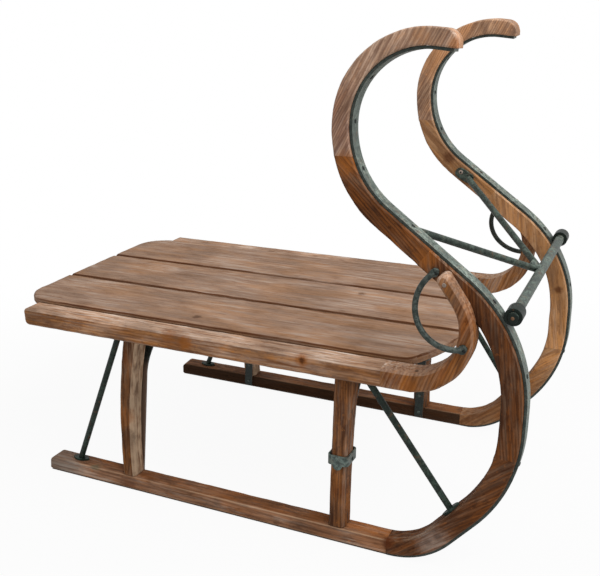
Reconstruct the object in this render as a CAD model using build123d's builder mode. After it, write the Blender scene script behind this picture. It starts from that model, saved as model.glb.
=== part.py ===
from build123d import *
import os
from collections import namedtuple
from math import atan2, cos, degrees, radians, sin, tan

# Wooden sled with tall horned runners, iron shoes and a slatted seat, in millimetres.
# X points forward, Y to the sled's left and Z up. The origin is on the floor, under the middle.
# Each side is drawn once, on the right, and mirrored to the left.

# Seat
SEAT_WIDTH = 420        # over the outer faces of the two rails
RAIL_TOP = 261
RAIL_WIDTH = 30
RAIL_HEIGHT = 25.5
RAIL_REAR = -336
TAIL_DEPTH = 15.5       # the rail thins towards the end of its curl
TAIL_STRAIGHT = 38      # straight end of the curl, lapped on the runner
TAIL_HEADING = 125
TAIL_ROUND = 6.5        # rounding of the corners of the curl's end
LAP_ALONG = 117         # place of the curl's end, along the neck
RAIL_END_ROUND = 7
RAIL_ARRIS = 3          # chamfer of the outer edges
BOARD_REAR = -370.2
BOARD_FRONT = 274
BOARD_CORNER = 48       # of the straight rear end
FRONT_BOW = 50          # the front end bows out by this much between its corners
FRONT_CORNER = 25
BOARD_THICK = 11
BOARD_PROUD = 3         # boards stand this much above the rails
BOARD_GAP = 4
BOARD_ARRIS = 2.5       # chamfer of the top edges
BENCH_WIDTH = 34
BENCH_HEIGHT = 24

# Side frames
RUNNER_INSET = 18.7     # from the seat's side to the middle of the runner, at the floor
RUNNER_WIDTH = 28
RUNNER_REAR = -321.5
LEAN = 2.46             # each side frame leans inwards, in degrees
HORN_TIP_ROUND = 17.5
SOLE_END_ROUND = 9
RUNNER_ARRIS = 1.5      # chamfer of the long edges

# Iron
IRON_THICK = 3.5
IRON_WIDTH = 20
IRON_STOP = 4           # the iron ends this far short of the horn's tip
STRAP_WIDTH = 14
STRAP_THICK = 3
STRAP_FOOT = 6
STRAP_BEND = 60
STRAP_REACH = 84        # along the underside of the bench
BAND_HEIGHT = 13
BAND_THICK = 2
BAND_TONGUE = 6.5       # radius of the tongue below the band
STAY_RADIUS = 4.25
STAY_FOOT_LENGTH = 28
STAY_FOOT_WIDTH = 14
STAY_FOOT_THICK = 3
REAR_STAY_FOOT = -272.5
REAR_STAY_BEHIND = 6    # from the rear leg to the middle of the stay's top
FRONT_STAY_AHEAD = 19   # from the front leg to the middle of the stay's top
BAR_RADIUS = 6.3
BAR_SWEEP = 35          # place of the tow bar round the bow bend, in degrees above its middle
BAR_PROUD = 3           # the bar ends this far outside its eyes
EYE_RADIUS = 10.4
EYE_LENGTH = 22
EYE_STANDOFF = 1
SHANK_RADIUS = 3
SHANK_DEEP = 18
BRACE_RADIUS = 4.4
BRACE_ALONG = 203       # place of the brace's eye, along the neck
BRACE_LEAF_LENGTH = 14  # between the middles of the leaf's round ends
BRACE_LEAF_RADIUS = 7.5
BRACE_LEAF_THICK = 4
STUB_RADIUS = 6
STUB_LENGTH = 17        # from the middle of the tow bar
HANDLE_RADIUS = 3.5
HANDLE_FLATS = 12       # hammered round its rod
HANDLE_BULGE = 38
HANDLE_ALONG = 126.5    # place of the handle's upper end, along the neck
HANDLE_INSET = 15
HANDLE_ON_CURL = -9     # place of its lower end round the rail's curl, in degrees
HANDLE_EYE_RADIUS = 5
HANDLE_EYE_THICK = 6

# Fits
IRON_GAP = 0.2          # between bent iron and the wood under it
TENON_GAP = 0.2
BORE_GAP = 0.2
LAP_GAP = 0.3
BAND_GAP = 0.4

# A bent timber is a chain of straight runs. Each run has its heading above forward, its length
# to the next corner, the depth of the timber, and the radius of the bend that ends it.
Run = namedtuple("Run", "heading length depth bend")
SOLE, TOE, BOW, NECK, NAPE, HORN = range(6)
runner_runs = [
    Run(0, 580.5, 20, 100),
    Run(49, 164, 26, 195),
    Run(90, 191.4, 26, 182),
    Run(143.6, 274.7, 24, 115),
    Run(90, 156, 21, 87),
    Run(-6, 120.5, 20, 0),
]

# The runner is sawn in segments, butted square across a run at a distance along it.
Joint = namedtuple("Joint", "run along")
runner_joints = [Joint(SOLE, 533.5), Joint(BOW, 39), Joint(NECK, 147), Joint(NAPE, 23)]
Segment = namedtuple("Segment", "name after before")
runner_segments = [
    Segment("runner_sole", [], [0, 1]),
    Segment("runner_toe", [0], [1]),
    Segment("runner_bow", [1], [2]),
    Segment("runner_neck", [1, 2], [3]),
    Segment("runner_horn", [3], []),
]

# Legs: place of the foot and the top along the sled, height of the waist, the widths of these
# three, and how far the waist stands behind a straight line.
Leg = namedtuple("Leg", "name foot top waist foot_width waist_width top_width sweep")
legs = [
    Leg("front", 142.8, 150, 120, 23.5, 23.5, 28, 2),
    Leg("rear", -178.5, -160.5, 85, 21.5, 21.5, 27, 6.5),
]
LEG_ARRIS = 4           # chamfer of the long edges
LEG_TENON = 12
LEG_TENON_DEEP = 10

# Places that follow from the sizes above
rail_under = RAIL_TOP - RAIL_HEIGHT
rail_inner = SEAT_WIDTH / 2 - RAIL_WIDTH
rail_middle = SEAT_WIDTH / 2 - RAIL_WIDTH / 2
board_top = RAIL_TOP + BOARD_PROUD
board_under = board_top - BOARD_THICK
bench_under = board_under - BENCH_HEIGHT
half_runner = RUNNER_WIDTH / 2
iron_drop = IRON_WIDTH / 2 * tan(radians(LEAN))
guide_height = IRON_THICK + IRON_GAP - iron_drop
sole_top = guide_height + runner_runs[SOLE].depth
leg_height = RAIL_TOP - sole_top
runner_start = (RUNNER_REAR, guide_height)

# The right side frame's own plane: x runs forward, y up the lean and z outwards.
side = Plane(
    origin=(0, RUNNER_INSET - SEAT_WIDTH / 2, 0),
    x_dir=(1, 0, 0),
    z_dir=(0, -cos(radians(LEAN)), sin(radians(LEAN))),
)


def ahead(heading):
    """Unit step along a heading, in the plane of a side frame."""
    return Vector(cos(radians(heading)), sin(radians(heading)))


def guide_corners(start, runs):
    """Start, corners and end of a chain of runs."""
    points = [Vector(*start)]
    for run in runs:
        points.append(points[-1] + ahead(run.heading) * run.length)
    return points


def edge_corners(start, runs, insets):
    """The same chain with each run moved to its left by its inset."""
    guide = guide_corners(start, runs)
    left = [ahead(run.heading + 90) * inset for run, inset in zip(runs, insets)]
    points = [guide[0] + left[0]]
    for number in range(len(runs) - 1):
        first = ahead(runs[number].heading)
        second = ahead(runs[number + 1].heading)
        step = left[number + 1] - left[number]
        slide = step.cross(second).Z / first.cross(second).Z
        points.append(guide[number + 1] + left[number] + first * slide)
    points.append(guide[-1] + left[-1])
    return points


def bend_radii(runs, insets):
    """Radii of the bends of an edge: tighter inside a bend, wider outside it."""
    radii = []
    for number in range(len(runs) - 1):
        mean_inset = (insets[number] + insets[number + 1]) / 2
        turns_left = runs[number + 1].heading > runs[number].heading
        growth = -mean_inset if turns_left else mean_inset
        radii.append(runs[number].bend + growth)
    return radii


def bend_centre(start, runs, number):
    """Middle of the left-hand bend that ends a run."""
    corner = guide_corners(start, runs)[number + 1]
    run = runs[number]
    turn = runs[number + 1].heading - run.heading
    bend_start = corner - ahead(run.heading) * run.bend * tan(radians(turn / 2))
    return bend_start + ahead(run.heading + 90) * run.bend


def bent_outline(start, runs, right, left):
    """Face between two edges of a chain of runs."""
    with BuildSketch() as outline:
        with BuildLine():
            first = FilletPolyline(*edge_corners(start, runs, right), radius=bend_radii(runs, right))
            second = FilletPolyline(*edge_corners(start, runs, left), radius=bend_radii(runs, left))
            Line(first @ 0, second @ 0)
            Line(first @ 1, second @ 1)
        make_face()
    return outline.sketch


def run_point(run, along, inset=0):
    """Point of the runner, by the distance along one run and the inset from its outer edge."""
    corner = guide_corners(runner_start, runner_runs)[run]
    heading = runner_runs[run].heading
    return corner + ahead(heading) * along + ahead(heading + 90) * inset


def leg_line(leg, height):
    """Place along the sled of the straight line from a leg's foot to its top."""
    return leg.foot + (leg.top - leg.foot) * (height - sole_top) / leg_height


def on_side(point, out=0):
    """Place in the sled of a point of the right side frame, moved outwards."""
    return side.from_local_coords((point.X, point.Y, out))


def side_step(heading):
    """Unit step along a heading of the side frame, in the sled."""
    step = ahead(heading)
    return side.x_dir * step.X + side.y_dir * step.Y


def plane_across(point, heading):
    """Plane square across the side frame that faces along a heading."""
    return Plane(origin=on_side(point), z_dir=side_step(heading))


def plane_along(point, heading):
    """Plane of a surface of the side frame that runs along a heading, facing to its left."""
    return Plane(origin=on_side(point), x_dir=side_step(heading), z_dir=side_step(heading + 90))


def write(piece, name):
    """Label a finished piece and write it."""
    piece.part.label = name
    export_step(piece.part, f"parts/{name}.step")


def write_pair(piece, name):
    """Write a right-hand piece and its mirror image."""
    write(piece, f"{name}_right")
    with BuildPart() as other:
        mirror(piece.part, about=Plane.XZ)
    write(other, f"{name}_left")


os.makedirs("parts", exist_ok=True)

no_inset = [0] * len(runner_runs)
depths = [run.depth for run in runner_runs]
bow_centre = bend_centre(runner_start, runner_runs, BOW)
bow_out = ahead(BAR_SWEEP)
bar_reach = runner_runs[BOW].bend + IRON_GAP + IRON_THICK + EYE_STANDOFF + EYE_RADIUS
bar_point = bow_centre + bow_out * bar_reach
bar_place = on_side(bar_point)

# Runner timber, whole: a sole that sweeps up through toe and bow, back along the neck and over
# into a horn. It has mortises for the legs and a hole for the tow bar's eye.
with BuildPart() as runner:
    with BuildSketch(side):
        add(bent_outline(runner_start, runner_runs, no_inset, depths))
        tip = run_point(HORN, runner_runs[HORN].length, runner_runs[HORN].depth)
        fillet(vertices().sort_by_distance(tip)[0], HORN_TIP_ROUND)
        sole_end = run_point(SOLE, 0, runner_runs[SOLE].depth)
        fillet(vertices().sort_by_distance(sole_end)[0], SOLE_END_ROUND)
    extrude(amount=half_runner, both=True)
    across_sled = Axis((0, 0, 0), side.z_dir)
    side_faces = faces().sort_by(across_sled)
    chamfer(side_faces[0].edges() + side_faces[-1].edges(), RUNNER_ARRIS)
    for leg in legs:
        with BuildSketch(plane_along(Vector(leg.foot, sole_top), 0)):
            Rectangle(LEG_TENON + 2 * TENON_GAP, LEG_TENON + 2 * TENON_GAP)
        extrude(amount=-LEG_TENON_DEEP - TENON_GAP, mode=Mode.SUBTRACT)
    with BuildSketch(plane_across(bar_point, BAR_SWEEP)):
        Circle(SHANK_RADIUS + BORE_GAP)
    extrude(amount=-(bar_reach - runner_runs[BOW].bend) - SHANK_DEEP - BORE_GAP, mode=Mode.SUBTRACT)

joint_planes = []
for joint in runner_joints:
    joint_planes.append(plane_across(run_point(joint.run, joint.along), runner_runs[joint.run].heading))

for segment in runner_segments:
    with BuildPart() as timber:
        add(runner.part)
        for number in segment.after:
            split(bisect_by=joint_planes[number], keep=Keep.TOP)
        for number in segment.before:
            split(bisect_by=joint_planes[number], keep=Keep.BOTTOM)
    write_pair(timber, segment.name)

# Iron on the outer edge of the runner: a shoe under the sole, worn flat on the floor, and a strap
# from the toe round the bow and up the neck to the underside of the horn.
iron_runs = runner_runs[:-1] + [runner_runs[HORN]._replace(length=runner_runs[HORN].length - IRON_STOP)]
iron_outer = [-IRON_GAP - IRON_THICK] * len(iron_runs)
iron_inner = [-IRON_GAP] * len(iron_runs)
with BuildPart() as iron:
    with BuildSketch(side):
        add(bent_outline(runner_start, iron_runs, iron_outer, iron_inner))
    extrude(amount=IRON_WIDTH / 2, both=True)
    split(bisect_by=Plane.XY, keep=Keep.TOP)
    with BuildSketch(plane_across(bar_point, BAR_SWEEP)):
        Circle(SHANK_RADIUS + BORE_GAP)
    extrude(amount=-bar_reach + runner_runs[BOW].bend, mode=Mode.SUBTRACT)

with BuildPart() as shoe:
    add(iron.part)
    split(bisect_by=joint_planes[0], keep=Keep.BOTTOM)
    split(bisect_by=joint_planes[1], keep=Keep.BOTTOM)
write_pair(shoe, "runner_shoe")

with BuildPart() as upper_iron:
    add(iron.part)
    add(shoe.part, mode=Mode.SUBTRACT)
write_pair(upper_iron, "runner_iron")

# Seat rail: a straight timber that curls up in front and laps on the outer face of the neck.
# The curl's inner half is cut away where it meets the runner.
lap = run_point(NECK, LAP_ALONG)
tail_length = (lap.Y - rail_under) / sin(radians(TAIL_HEADING))
curl_corner = lap.X - tail_length * cos(radians(TAIL_HEADING))
curl_radius = (tail_length - TAIL_STRAIGHT) / tan(radians(TAIL_HEADING / 2))
rail_start = (RAIL_REAR, rail_under)
rail_runs = [
    Run(0, curl_corner - RAIL_REAR, RAIL_HEIGHT, curl_radius),
    Run(TAIL_HEADING, tail_length, TAIL_DEPTH, 0),
]
curl_centre = bend_centre(rail_start, rail_runs, 0)

lap_right = [-LAP_GAP] * len(runner_runs)
lap_left = [depth + LAP_GAP for depth in depths]
with BuildPart() as lap_space:
    with BuildSketch(side.offset(half_runner)):
        add(bent_outline(runner_start, runner_runs, lap_right, lap_left))
    extrude(amount=-RUNNER_WIDTH - RAIL_WIDTH)

with BuildPart() as rail:
    with BuildSketch(Plane.XZ.offset(rail_inner)):
        add(bent_outline(rail_start, rail_runs, [0, 0], [RAIL_HEIGHT, TAIL_DEPTH]))
        fillet(vertices().group_by(Axis.X)[0], RAIL_END_ROUND)
        fillet(vertices().sort_by_distance(lap)[:2], TAIL_ROUND)
    extrude(amount=RAIL_WIDTH)
    chamfer(faces().sort_by(Axis.Y)[0].edges(), RAIL_ARRIS)
    add(lap_space.part, mode=Mode.SUBTRACT)
write_pair(rail, "seat_rail")

# Benches: cross timbers between the rails that carry the boards.
benches = {}
for leg in legs:
    with BuildPart() as bench:
        with BuildSketch(Plane.XY.offset(bench_under)):
            with Locations((leg.top, 0)):
                Rectangle(BENCH_WIDTH, 2 * rail_inner)
        extrude(amount=BENCH_HEIGHT)
    write(bench, f"{leg.name}_bench")
    benches[leg.name] = bench.part

# Seat boards, cut to one outline: straight across the rear, bowed in front, with round corners.
half_seat = rail_inner - BOARD_GAP
side_front = BOARD_FRONT - FRONT_BOW
with BuildSketch() as seat_outline:
    with BuildLine():
        Polyline(
            (side_front, half_seat),
            (BOARD_REAR, half_seat),
            (BOARD_REAR, -half_seat),
            (side_front, -half_seat),
        )
        ThreePointArc((side_front, -half_seat), (BOARD_FRONT, 0), (side_front, half_seat))
    make_face()
    fillet(vertices().group_by(Axis.X)[-1], FRONT_CORNER)
    fillet(vertices().group_by(Axis.X)[0], BOARD_CORNER)

board_names = ["right", "middle", "left"]
board_pitch = (2 * half_seat + BOARD_GAP) / len(board_names)
board_width = board_pitch - BOARD_GAP
for number, name in enumerate(board_names):
    board_y = -half_seat + board_width / 2 + number * board_pitch
    with BuildPart() as board:
        with BuildSketch(Plane.XY.offset(board_under)):
            add(seat_outline.sketch)
            with Locations(((BOARD_REAR + BOARD_FRONT) / 2, board_y)):
                Rectangle(BOARD_FRONT - BOARD_REAR, board_width, mode=Mode.INTERSECT)
        extrude(amount=BOARD_THICK)
        chamfer(faces().sort_by(Axis.Z)[-1].edges(), BOARD_ARRIS)
    write(board, f"seat_board_{name}")

# Legs: tenoned into the sole, with an outer cheek under the rail and an inner shoulder under the
# bench. Each has an iron strap from the runner's inner face up to the bench.
cheeks = {}
for leg in legs:
    waist_x = leg_line(leg, leg.waist) - leg.sweep
    with BuildPart() as post:
        with BuildSketch(side):
            with BuildLine():
                rear_edge = ThreePointArc(
                    (leg.foot - leg.foot_width / 2, sole_top),
                    (waist_x - leg.waist_width / 2, leg.waist),
                    (leg.top - leg.top_width / 2, RAIL_TOP),
                )
                front_edge = ThreePointArc(
                    (leg.foot + leg.foot_width / 2, sole_top),
                    (waist_x + leg.waist_width / 2, leg.waist),
                    (leg.top + leg.top_width / 2, RAIL_TOP),
                )
                Line(rear_edge @ 0, front_edge @ 0)
                Line(rear_edge @ 1, front_edge @ 1)
            make_face()
        extrude(amount=half_runner, both=True)
        chamfer(edges().filter_by(GeomType.CIRCLE), LEG_ARRIS)
        split(bisect_by=Plane.XY.offset(rail_under), keep=Keep.BOTTOM)
        add(benches[leg.name], mode=Mode.SUBTRACT)
        with BuildSketch(plane_along(Vector(leg.foot, sole_top), 0)):
            Rectangle(LEG_TENON, LEG_TENON)
        extrude(amount=-LEG_TENON_DEEP)
    write_pair(post, f"{leg.name}_leg")
    cheeks[leg.name] = post.faces().sort_by(Axis.Z)[-1].bounding_box()

    strap_heading = 90 - degrees(atan2(leg.top - leg.foot, leg_height))
    strap_side = side_step(strap_heading - 90)
    strap_foot = on_side(Vector(leg_line(leg, STRAP_FOOT), STRAP_FOOT), -half_runner)
    strap_top = bench_under + abs(strap_side.Z) * STRAP_WIDTH / 2
    strap_rise = (strap_top - strap_foot.Z) / side_step(strap_heading).Z
    strap_runs = [
        Run(90, strap_rise, STRAP_THICK, STRAP_BEND),
        Run(LEAN, STRAP_REACH, STRAP_THICK, 0),
    ]
    with BuildPart() as strap:
        with BuildSketch(Plane(origin=strap_foot, x_dir=-side.z_dir, z_dir=strap_side)):
            add(bent_outline((0, 0), strap_runs, [-STRAP_THICK] * 2, [0, 0]))
        extrude(amount=STRAP_WIDTH / 2, both=True)
        split(bisect_by=Plane.XY.offset(bench_under), keep=Keep.BOTTOM)
    write_pair(strap, f"{leg.name}_strap")

# Iron band that clamps the strap to the front leg, with a round tongue on the outer face.
front = legs[0]
band_x = leg_line(front, front.waist) - front.sweep
band_long = front.waist_width + 2 * BAND_GAP
band_wide = RUNNER_WIDTH + STRAP_THICK + 2 * BAND_GAP
tongue_place = on_side(Vector(band_x, front.waist - BAND_HEIGHT / 2), half_runner + BAND_GAP)
with BuildPart() as band:
    with BuildSketch(plane_along(Vector(band_x, front.waist), 0)):
        with Locations((0, STRAP_THICK / 2)):
            RectangleRounded(band_long + 2 * BAND_THICK, band_wide + 2 * BAND_THICK, LEG_ARRIS + BAND_THICK)
            RectangleRounded(band_long, band_wide, LEG_ARRIS, mode=Mode.SUBTRACT)
    extrude(amount=BAND_HEIGHT / 2, both=True)
    with BuildSketch(Plane(origin=tongue_place, x_dir=side.x_dir, z_dir=side.z_dir)):
        Circle(BAND_TONGUE)
    extrude(amount=BAND_THICK)
write_pair(band, "leg_band")

# Stays: round rods from a leaf-shaped foot on the runner up to the underside of the rail.
toe_edge = edge_corners(runner_start, runner_runs, depths)
toe_radii = bend_radii(runner_runs, depths)
toe_heading = runner_runs[TOE].heading
toe_stop = toe_radii[TOE] * tan(radians((runner_runs[BOW].heading - toe_heading) / 2))
toe_length = (toe_edge[BOW] - toe_edge[TOE]).length
toe_foot = toe_edge[TOE] + ahead(toe_heading) * (toe_length - toe_stop - STAY_FOOT_LENGTH / 2)
Stay = namedtuple("Stay", "name foot heading top")
front_top = cheeks["front"].max.X + FRONT_STAY_AHEAD
rear_top = cheeks["rear"].min.X - REAR_STAY_BEHIND
stays = [
    Stay("front", toe_foot, toe_heading, front_top),
    Stay("rear", Vector(REAR_STAY_FOOT, sole_top), runner_runs[SOLE].heading, rear_top),
]
for stay in stays:
    foot_plane = plane_along(stay.foot, stay.heading)
    rod_foot = foot_plane.origin + foot_plane.z_dir * STAY_FOOT_THICK
    rod_top = Vector(stay.top, -rail_middle, rail_under)
    with BuildPart() as rod:
        with BuildSketch(foot_plane):
            with BuildLine():
                half_length = STAY_FOOT_LENGTH / 2
                half_width = STAY_FOOT_WIDTH / 2
                ThreePointArc((-half_length, 0), (0, half_width), (half_length, 0))
                ThreePointArc((-half_length, 0), (0, -half_width), (half_length, 0))
            make_face()
        extrude(amount=STAY_FOOT_THICK)
        with BuildSketch(Plane(origin=rod_foot, z_dir=rod_top - rod_foot)):
            Circle(STAY_RADIUS)
        extrude(amount=(rod_top - rod_foot).length + 2 * STAY_RADIUS)
        split(bisect_by=Plane.XY.offset(rail_under), keep=Keep.BOTTOM)
    write_pair(rod, f"{stay.name}_stay")

# Tow bar: a round bar across the front, in an eye bolted through the iron of each runner.
bar_half = -bar_place.Y + EYE_LENGTH / 2 + BAR_PROUD
with BuildPart() as bar:
    with BuildSketch(Plane.XZ):
        with Locations((bar_place.X, bar_place.Z)):
            Circle(BAR_RADIUS)
    extrude(amount=bar_half, both=True)
write(bar, "tow_bar")

with BuildPart() as eye:
    with BuildSketch(Plane.XZ.offset(-bar_place.Y)):
        with Locations((bar_place.X, bar_place.Z)):
            Circle(EYE_RADIUS)
    extrude(amount=EYE_LENGTH / 2, both=True)
    with BuildSketch(plane_across(bar_point, BAR_SWEEP)):
        Circle(SHANK_RADIUS)
    extrude(amount=-(bar_reach - runner_runs[BOW].bend) - SHANK_DEEP)
    with BuildSketch(Plane.XZ.offset(-bar_place.Y)):
        with Locations((bar_place.X, bar_place.Z)):
            Circle(BAR_RADIUS + BORE_GAP)
    extrude(amount=EYE_LENGTH, both=True, mode=Mode.SUBTRACT)
write_pair(eye, "bar_eye")

# Tow braces: a rod from a flat leaf on each neck's inner face to a stub at the tow bar's middle.
bar_middle = Vector(bar_place.X, 0, bar_place.Z)
leaf_top = on_side(run_point(NECK, BRACE_ALONG, runner_runs[NECK].depth / 2), -half_runner)
pull = bar_middle - leaf_top
leaf_step = (pull - side.z_dir * pull.dot(side.z_dir)).normalized()
leaf_middle = leaf_top + leaf_step * (BRACE_LEAF_LENGTH / 2)
brace_start = leaf_top + leaf_step * BRACE_LEAF_LENGTH - side.z_dir * BRACE_RADIUS
stub_step = Vector(brace_start.X - bar_middle.X, 0, brace_start.Z - bar_middle.Z).normalized()

with BuildPart() as bar_space:
    with BuildSketch(Plane.XZ):
        with Locations((bar_place.X, bar_place.Z)):
            Circle(BAR_RADIUS + BORE_GAP)
    extrude(amount=bar_half, both=True)

with BuildPart() as stub:
    with BuildSketch(Plane(origin=bar_middle, z_dir=stub_step)):
        Circle(STUB_RADIUS)
    extrude(amount=STUB_LENGTH)
    add(bar_space.part, mode=Mode.SUBTRACT)
write(stub, "brace_stub")

with BuildPart() as brace:
    with BuildSketch(Plane(origin=leaf_middle, x_dir=leaf_step, z_dir=-side.z_dir)):
        SlotCenterToCenter(BRACE_LEAF_LENGTH, 2 * BRACE_LEAF_RADIUS)
    extrude(amount=BRACE_LEAF_THICK)
    with BuildSketch(Plane(origin=brace_start, z_dir=bar_middle - brace_start)):
        Circle(BRACE_RADIUS)
    extrude(amount=(bar_middle - brace_start).length)
    split(bisect_by=side.offset(-half_runner), keep=Keep.BOTTOM)
    split(bisect_by=Plane.XZ, keep=Keep.TOP)
    add(bar_space.part, mode=Mode.SUBTRACT)
    with BuildSketch(Plane(origin=bar_middle, z_dir=stub_step)):
        Circle(STUB_RADIUS + BORE_GAP)
    extrude(amount=STUB_LENGTH + BORE_GAP, mode=Mode.SUBTRACT)
write_pair(brace, "tow_brace")

# Side handles: a bent rod with flat eyes, from the outer face of the neck to the rail's curl.
handle_top = run_point(NECK, HANDLE_ALONG, HANDLE_INSET)
handle_low = curl_centre + ahead(HANDLE_ON_CURL) * (curl_radius - (RAIL_HEIGHT + TAIL_DEPTH) / 4)
standoff = HANDLE_RADIUS + BORE_GAP
top_place = on_side(handle_top, half_runner + standoff)
low_place = Vector(handle_low.X, -SEAT_WIDTH / 2 - standoff, handle_low.Y)
half_chord = (low_place - top_place) * 0.5
chord = half_chord.normalized()
rearward = Vector(-1, 0, 0)
bulge = (rearward - chord * rearward.dot(chord)).normalized()
arc_radius = (half_chord.length ** 2 + HANDLE_BULGE ** 2) / (2 * HANDLE_BULGE)
arc_centre = top_place + half_chord + bulge * (HANDLE_BULGE - arc_radius)
spoke = top_place - arc_centre
arc_axis = Axis(arc_centre, spoke.cross(bulge))
with BuildPart() as handle:
    with BuildSketch(Plane(origin=top_place, z_dir=arc_axis.direction.cross(spoke))):
        RegularPolygon(HANDLE_RADIUS, HANDLE_FLATS)
    revolve(axis=arc_axis, revolution_arc=2 * spoke.get_angle(bulge))
    with BuildSketch(Plane(origin=on_side(handle_top, half_runner), z_dir=side.z_dir)):
        Circle(HANDLE_EYE_RADIUS)
    extrude(amount=HANDLE_EYE_THICK)
    with BuildSketch(Plane(origin=(handle_low.X, -SEAT_WIDTH / 2, handle_low.Y), z_dir=(0, -1, 0))):
        Circle(HANDLE_EYE_RADIUS)
    extrude(amount=HANDLE_EYE_THICK)
write_pair(handle, "side_handle")
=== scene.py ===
from collections import namedtuple
from math import cos, radians, sin

import bmesh
import bpy
from mathutils import Matrix, Vector, noise
from mathutils.bvhtree import BVHTree


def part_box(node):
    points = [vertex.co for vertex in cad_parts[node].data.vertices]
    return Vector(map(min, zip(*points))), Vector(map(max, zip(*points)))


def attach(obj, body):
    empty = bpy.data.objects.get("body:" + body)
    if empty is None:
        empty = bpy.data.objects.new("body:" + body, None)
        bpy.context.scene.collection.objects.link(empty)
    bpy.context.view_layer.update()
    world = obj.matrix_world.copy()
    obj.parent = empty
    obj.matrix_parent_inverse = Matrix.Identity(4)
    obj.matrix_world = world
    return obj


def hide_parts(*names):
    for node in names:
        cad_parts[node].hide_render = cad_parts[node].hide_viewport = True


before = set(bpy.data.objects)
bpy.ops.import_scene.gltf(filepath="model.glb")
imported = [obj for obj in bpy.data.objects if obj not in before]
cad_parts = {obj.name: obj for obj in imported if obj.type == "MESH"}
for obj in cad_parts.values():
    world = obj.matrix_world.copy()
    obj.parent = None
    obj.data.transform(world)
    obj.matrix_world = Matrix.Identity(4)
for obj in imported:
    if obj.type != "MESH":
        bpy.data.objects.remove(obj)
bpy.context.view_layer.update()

# Runners: softwood planks sawn into five curved segments and butted end to end, then brushed,
# stained brown and rubbed with lime. Years of handling have softened and dented their edges.
MM = 0.001
SIDES = {"right": -1, "left": 1}
FORWARD = Vector((1, 0, 0))
LEFT = Vector((0, 1, 0))
UP = Vector((0, 0, 1))


def link(tree, socket, value):
    """Feed a socket from another socket, or set it to a plain value."""
    if isinstance(value, bpy.types.NodeSocket):
        tree.links.new(value, socket)
    else:
        socket.default_value = value


def maths(tree, operation, first, second=0.0):
    """One step of arithmetic."""
    step = tree.nodes.new("ShaderNodeMath")
    step.operation = operation
    link(tree, step.inputs[0], first)
    link(tree, step.inputs[1], second)
    return step.outputs[0]


def ramp(tree, value, low, high, start=0.0, end=1.0):
    """Smooth step from start, at low, to end, at high."""
    step = tree.nodes.new("ShaderNodeMapRange")
    step.interpolation_type = "SMOOTHSTEP"
    link(tree, step.inputs["Value"], value)
    for name, number in (("From Min", low), ("From Max", high), ("To Min", start), ("To Max", end)):
        link(tree, step.inputs[name], number)
    return step.outputs["Result"]


def blend(tree, share, first, second, mode="MIX"):
    """Colour between two colours."""
    step = tree.nodes.new("ShaderNodeMix")
    step.data_type = "RGBA"
    step.blend_type = mode
    link(tree, step.inputs[0], share)
    link(tree, step.inputs[6], first)
    link(tree, step.inputs[7], second)
    return step.outputs[2]


def scaled_by(tree, colour, share):
    """Colour made darker or lighter."""
    step = tree.nodes.new("ShaderNodeVectorMath")
    step.operation = "SCALE"
    link(tree, step.inputs[0], colour)
    link(tree, step.inputs["Scale"], share)
    return step.outputs[0]


def mottle(tree, place, stretch, detail=2.0, rough=0.5, shift=0.0):
    """Noise along a place, with its own frequency each way, per metre."""
    scaled = tree.nodes.new("ShaderNodeVectorMath")
    scaled.operation = "MULTIPLY_ADD"
    link(tree, scaled.inputs[0], place)
    scaled.inputs[1].default_value = stretch
    scaled.inputs[2].default_value = (shift, shift * 0.7, shift * 1.3)
    cloud = tree.nodes.new("ShaderNodeTexNoise")
    link(tree, cloud.inputs["Vector"], scaled.outputs[0])
    cloud.inputs["Scale"].default_value = 1.0
    cloud.inputs["Detail"].default_value = detail
    cloud.inputs["Roughness"].default_value = rough
    return cloud.outputs


def turned_to(tree, way):
    """Cosine of the angle between a surface and one way."""
    true = tree.nodes.new("ShaderNodeNewGeometry")
    turn = tree.nodes.new("ShaderNodeVectorMath")
    turn.operation = "DOT_PRODUCT"
    link(tree, turn.inputs[0], true.outputs["Normal"])
    link(tree, turn.inputs[1], way)
    return turn.outputs["Value"]


def facing_share(tree, way):
    """How far a surface faces one way, from 0 square to it to 1 straight at it."""
    return ramp(tree, turned_to(tree, way), 0.1, 0.9)


def flank_share(tree):
    """One on the sides of a piece, which face right or left."""
    return maths(tree, "MAXIMUM", facing_share(tree, LEFT), facing_share(tree, -LEFT))


def arris_share(tree, across):
    """One on rounded edges, where a surface neither faces across a timber nor lies square to that."""
    tilt = maths(tree, "ABSOLUTE", turned_to(tree, across))
    return maths(tree, "MULTIPLY", ramp(tree, tilt, 0.25, 0.50), ramp(tree, tilt, 0.98, 0.88))


def gap_shade_share(tree, reach):
    """How deep a point lies in a gap or a corner, from 0 to 1; it sets where painted shade goes."""
    shade = tree.nodes.new("ShaderNodeAmbientOcclusion")
    shade.samples = 4
    shade.inputs["Distance"].default_value = reach
    return ramp(tree, shade.outputs["AO"], 0.62, 0.18)


# A stain or a knot, with its place and radius in millimetres.
Mark = namedtuple("Mark", "place radius tint share")
SMALL_MARK = 12             # up to this radius a mark covers the grain


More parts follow.
